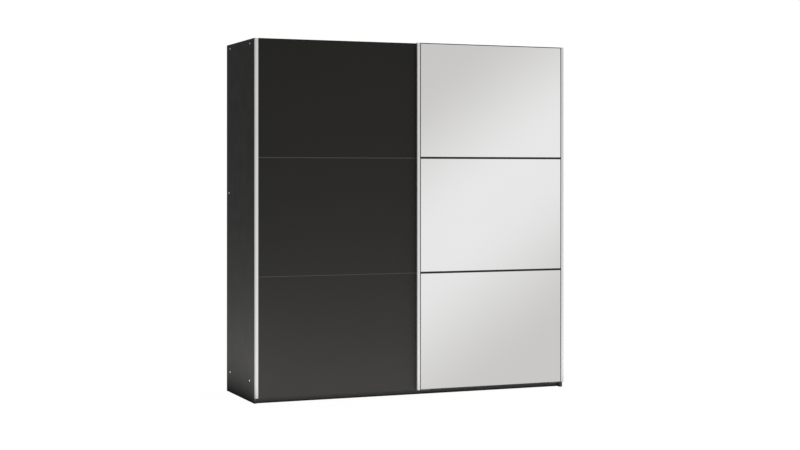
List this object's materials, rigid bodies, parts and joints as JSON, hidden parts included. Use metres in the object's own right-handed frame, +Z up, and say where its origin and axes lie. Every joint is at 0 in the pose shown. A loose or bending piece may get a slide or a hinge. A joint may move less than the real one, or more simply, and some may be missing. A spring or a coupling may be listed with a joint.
{
  "type": "sliding door wardrobe",
  "caption": "Free-standing panel wardrobe with a dark laminate sliding door and a mirrored sliding door on grooved wheels in a top track, over hanging space and hat shelves.",
  "frame": {"origin": "on the floor, under the middle of the whole piece's box", "axes": "+Z up, -Y the front with the doors, +X to the right when facing the doors"},
  "size_m": [2, 0.6366, 2.126],
  "materials": {
    "carcass_laminate": "satin dark laminate on particle board",
    "door_laminate": "satin dark laminate",
    "mirror_carrier": "satin dark laminate",
    "back_sheet": "printed hardboard",
    "mirror": "silvered float glass",
    "satin_aluminium": "satin anodised",
    "divider": "dark satin",
    "door_trim": "dark satin lacquer",
    "plated_steel": "zinc plated",
    "bright_zinc": "bright zinc",
    "rail_chrome": "polished",
    "wheel_nylon": "natural nylon",
    "guide_nylon": "black nylon",
    "dark_plastic": "dark grey",
    "buffer_rubber": "matte"
  },
  "bodies": {
    "carcass": {"back_joining_strips": "dark_plastic", "back_sheet_1": "back_sheet", "back_sheet_2": "back_sheet", "back_sheet_3": "back_sheet", "back_sheet_4": "back_sheet", "bottom_panel": "carcass_laminate", "carcass_screws": "bright_zinc", "centre_partition": "carcass_laminate", "clothes_rail_brackets": "dark_plastic", "front_plinth": "carcass_laminate", "guide_rail": "satin_aluminium", "left_clothes_rail": "rail_chrome", "left_hat_shelf": "carcass_laminate", "left_rear_rail": "carcass_laminate", "left_side_panel": "carcass_laminate", "plinth_brace": "carcass_laminate", "rear_plinth": "carcass_laminate", "right_clothes_rail": "rail_chrome", "right_hat_shelf": "carcass_laminate", "right_rear_rail": "carcass_laminate", "right_side_panel": "carcass_laminate", "runner_track": "satin_aluminium", "shelf_pins": "bright_zinc", "top_panel": "carcass_laminate", "track_stop_blocks": "dark_plastic", "track_stop_buffers": "buffer_rubber"},
    "rear_door": {"rear_door_axles": "bright_zinc", "rear_door_board": "door_laminate", "rear_door_guide_blades": "guide_nylon", "rear_door_guide_brackets": "plated_steel", "rear_door_handle_profile": "satin_aluminium", "rear_door_hangers": "plated_steel", "rear_door_inner_profile": "satin_aluminium", "rear_door_trims": "door_trim"},
    "mirror_door": {"lower_mirror": "mirror", "middle_mirror": "mirror", "mirror_door_axles": "bright_zinc", "mirror_door_board": "mirror_carrier", "mirror_door_dividers": "divider", "mirror_door_guide_arms": "plated_steel", "mirror_door_guide_blades": "guide_nylon", "mirror_door_guide_plates": "plated_steel", "mirror_door_handle_profile": "satin_aluminium", "mirror_door_hanger_arms": "plated_steel", "mirror_door_hanger_cheeks": "plated_steel", "mirror_door_hanger_plates": "plated_steel", "mirror_door_outer_profile": "satin_aluminium", "upper_mirror": "mirror"},
    "rear_door_left_wheel": {"rear_door_left_wheel": "wheel_nylon"},
    "rear_door_right_wheel": {"rear_door_right_wheel": "wheel_nylon"},
    "mirror_door_left_wheel": {"mirror_door_left_wheel": "wheel_nylon"},
    "mirror_door_right_wheel": {"mirror_door_right_wheel": "wheel_nylon"}
  },
  "joints": [
    {"name": "rear_door_slide", "type": "slide", "parent": "carcass", "child": "rear_door", "axis": [1, 0, 0], "range_m": [0, 0.948]},
    {"name": "mirror_door_slide", "type": "slide", "parent": "carcass", "child": "mirror_door", "axis": [1, 0, 0], "range_m": [-1.003, 0]},
    {"name": "rear_door_left_wheel_spin", "type": "hinge", "parent": "rear_door", "child": "rear_door_left_wheel", "pos_m": [-0.91, -0.25225, 2.1068], "axis": [0, 1, 0], "range_deg": [-5, 5437]},
    {"name": "rear_door_right_wheel_spin", "type": "hinge", "parent": "rear_door", "child": "rear_door_right_wheel", "pos_m": [-0.056, -0.25225, 2.1068], "axis": [0, 1, 0], "range_deg": [-5, 5437]},
    {"name": "mirror_door_left_wheel_spin", "type": "hinge", "parent": "mirror_door", "child": "mirror_door_left_wheel", "pos_m": [0.096, -0.22625, 2.1068], "axis": [0, 1, 0], "range_deg": [-5752, 5]},
    {"name": "mirror_door_right_wheel_spin", "type": "hinge", "parent": "mirror_door", "child": "mirror_door_right_wheel", "pos_m": [0.907, -0.22625, 2.1068], "axis": [0, 1, 0], "range_deg": [-5752, 5]}
  ],
  "couplings": [
    {"joint": "rear_door_left_wheel_spin", "follows": "rear_door_slide", "rad_per_m": 100},
    {"joint": "rear_door_right_wheel_spin", "follows": "rear_door_slide", "rad_per_m": 100},
    {"joint": "mirror_door_left_wheel_spin", "follows": "mirror_door_slide", "rad_per_m": 100},
    {"joint": "mirror_door_right_wheel_spin", "follows": "mirror_door_slide", "rad_per_m": 100}
  ]
}
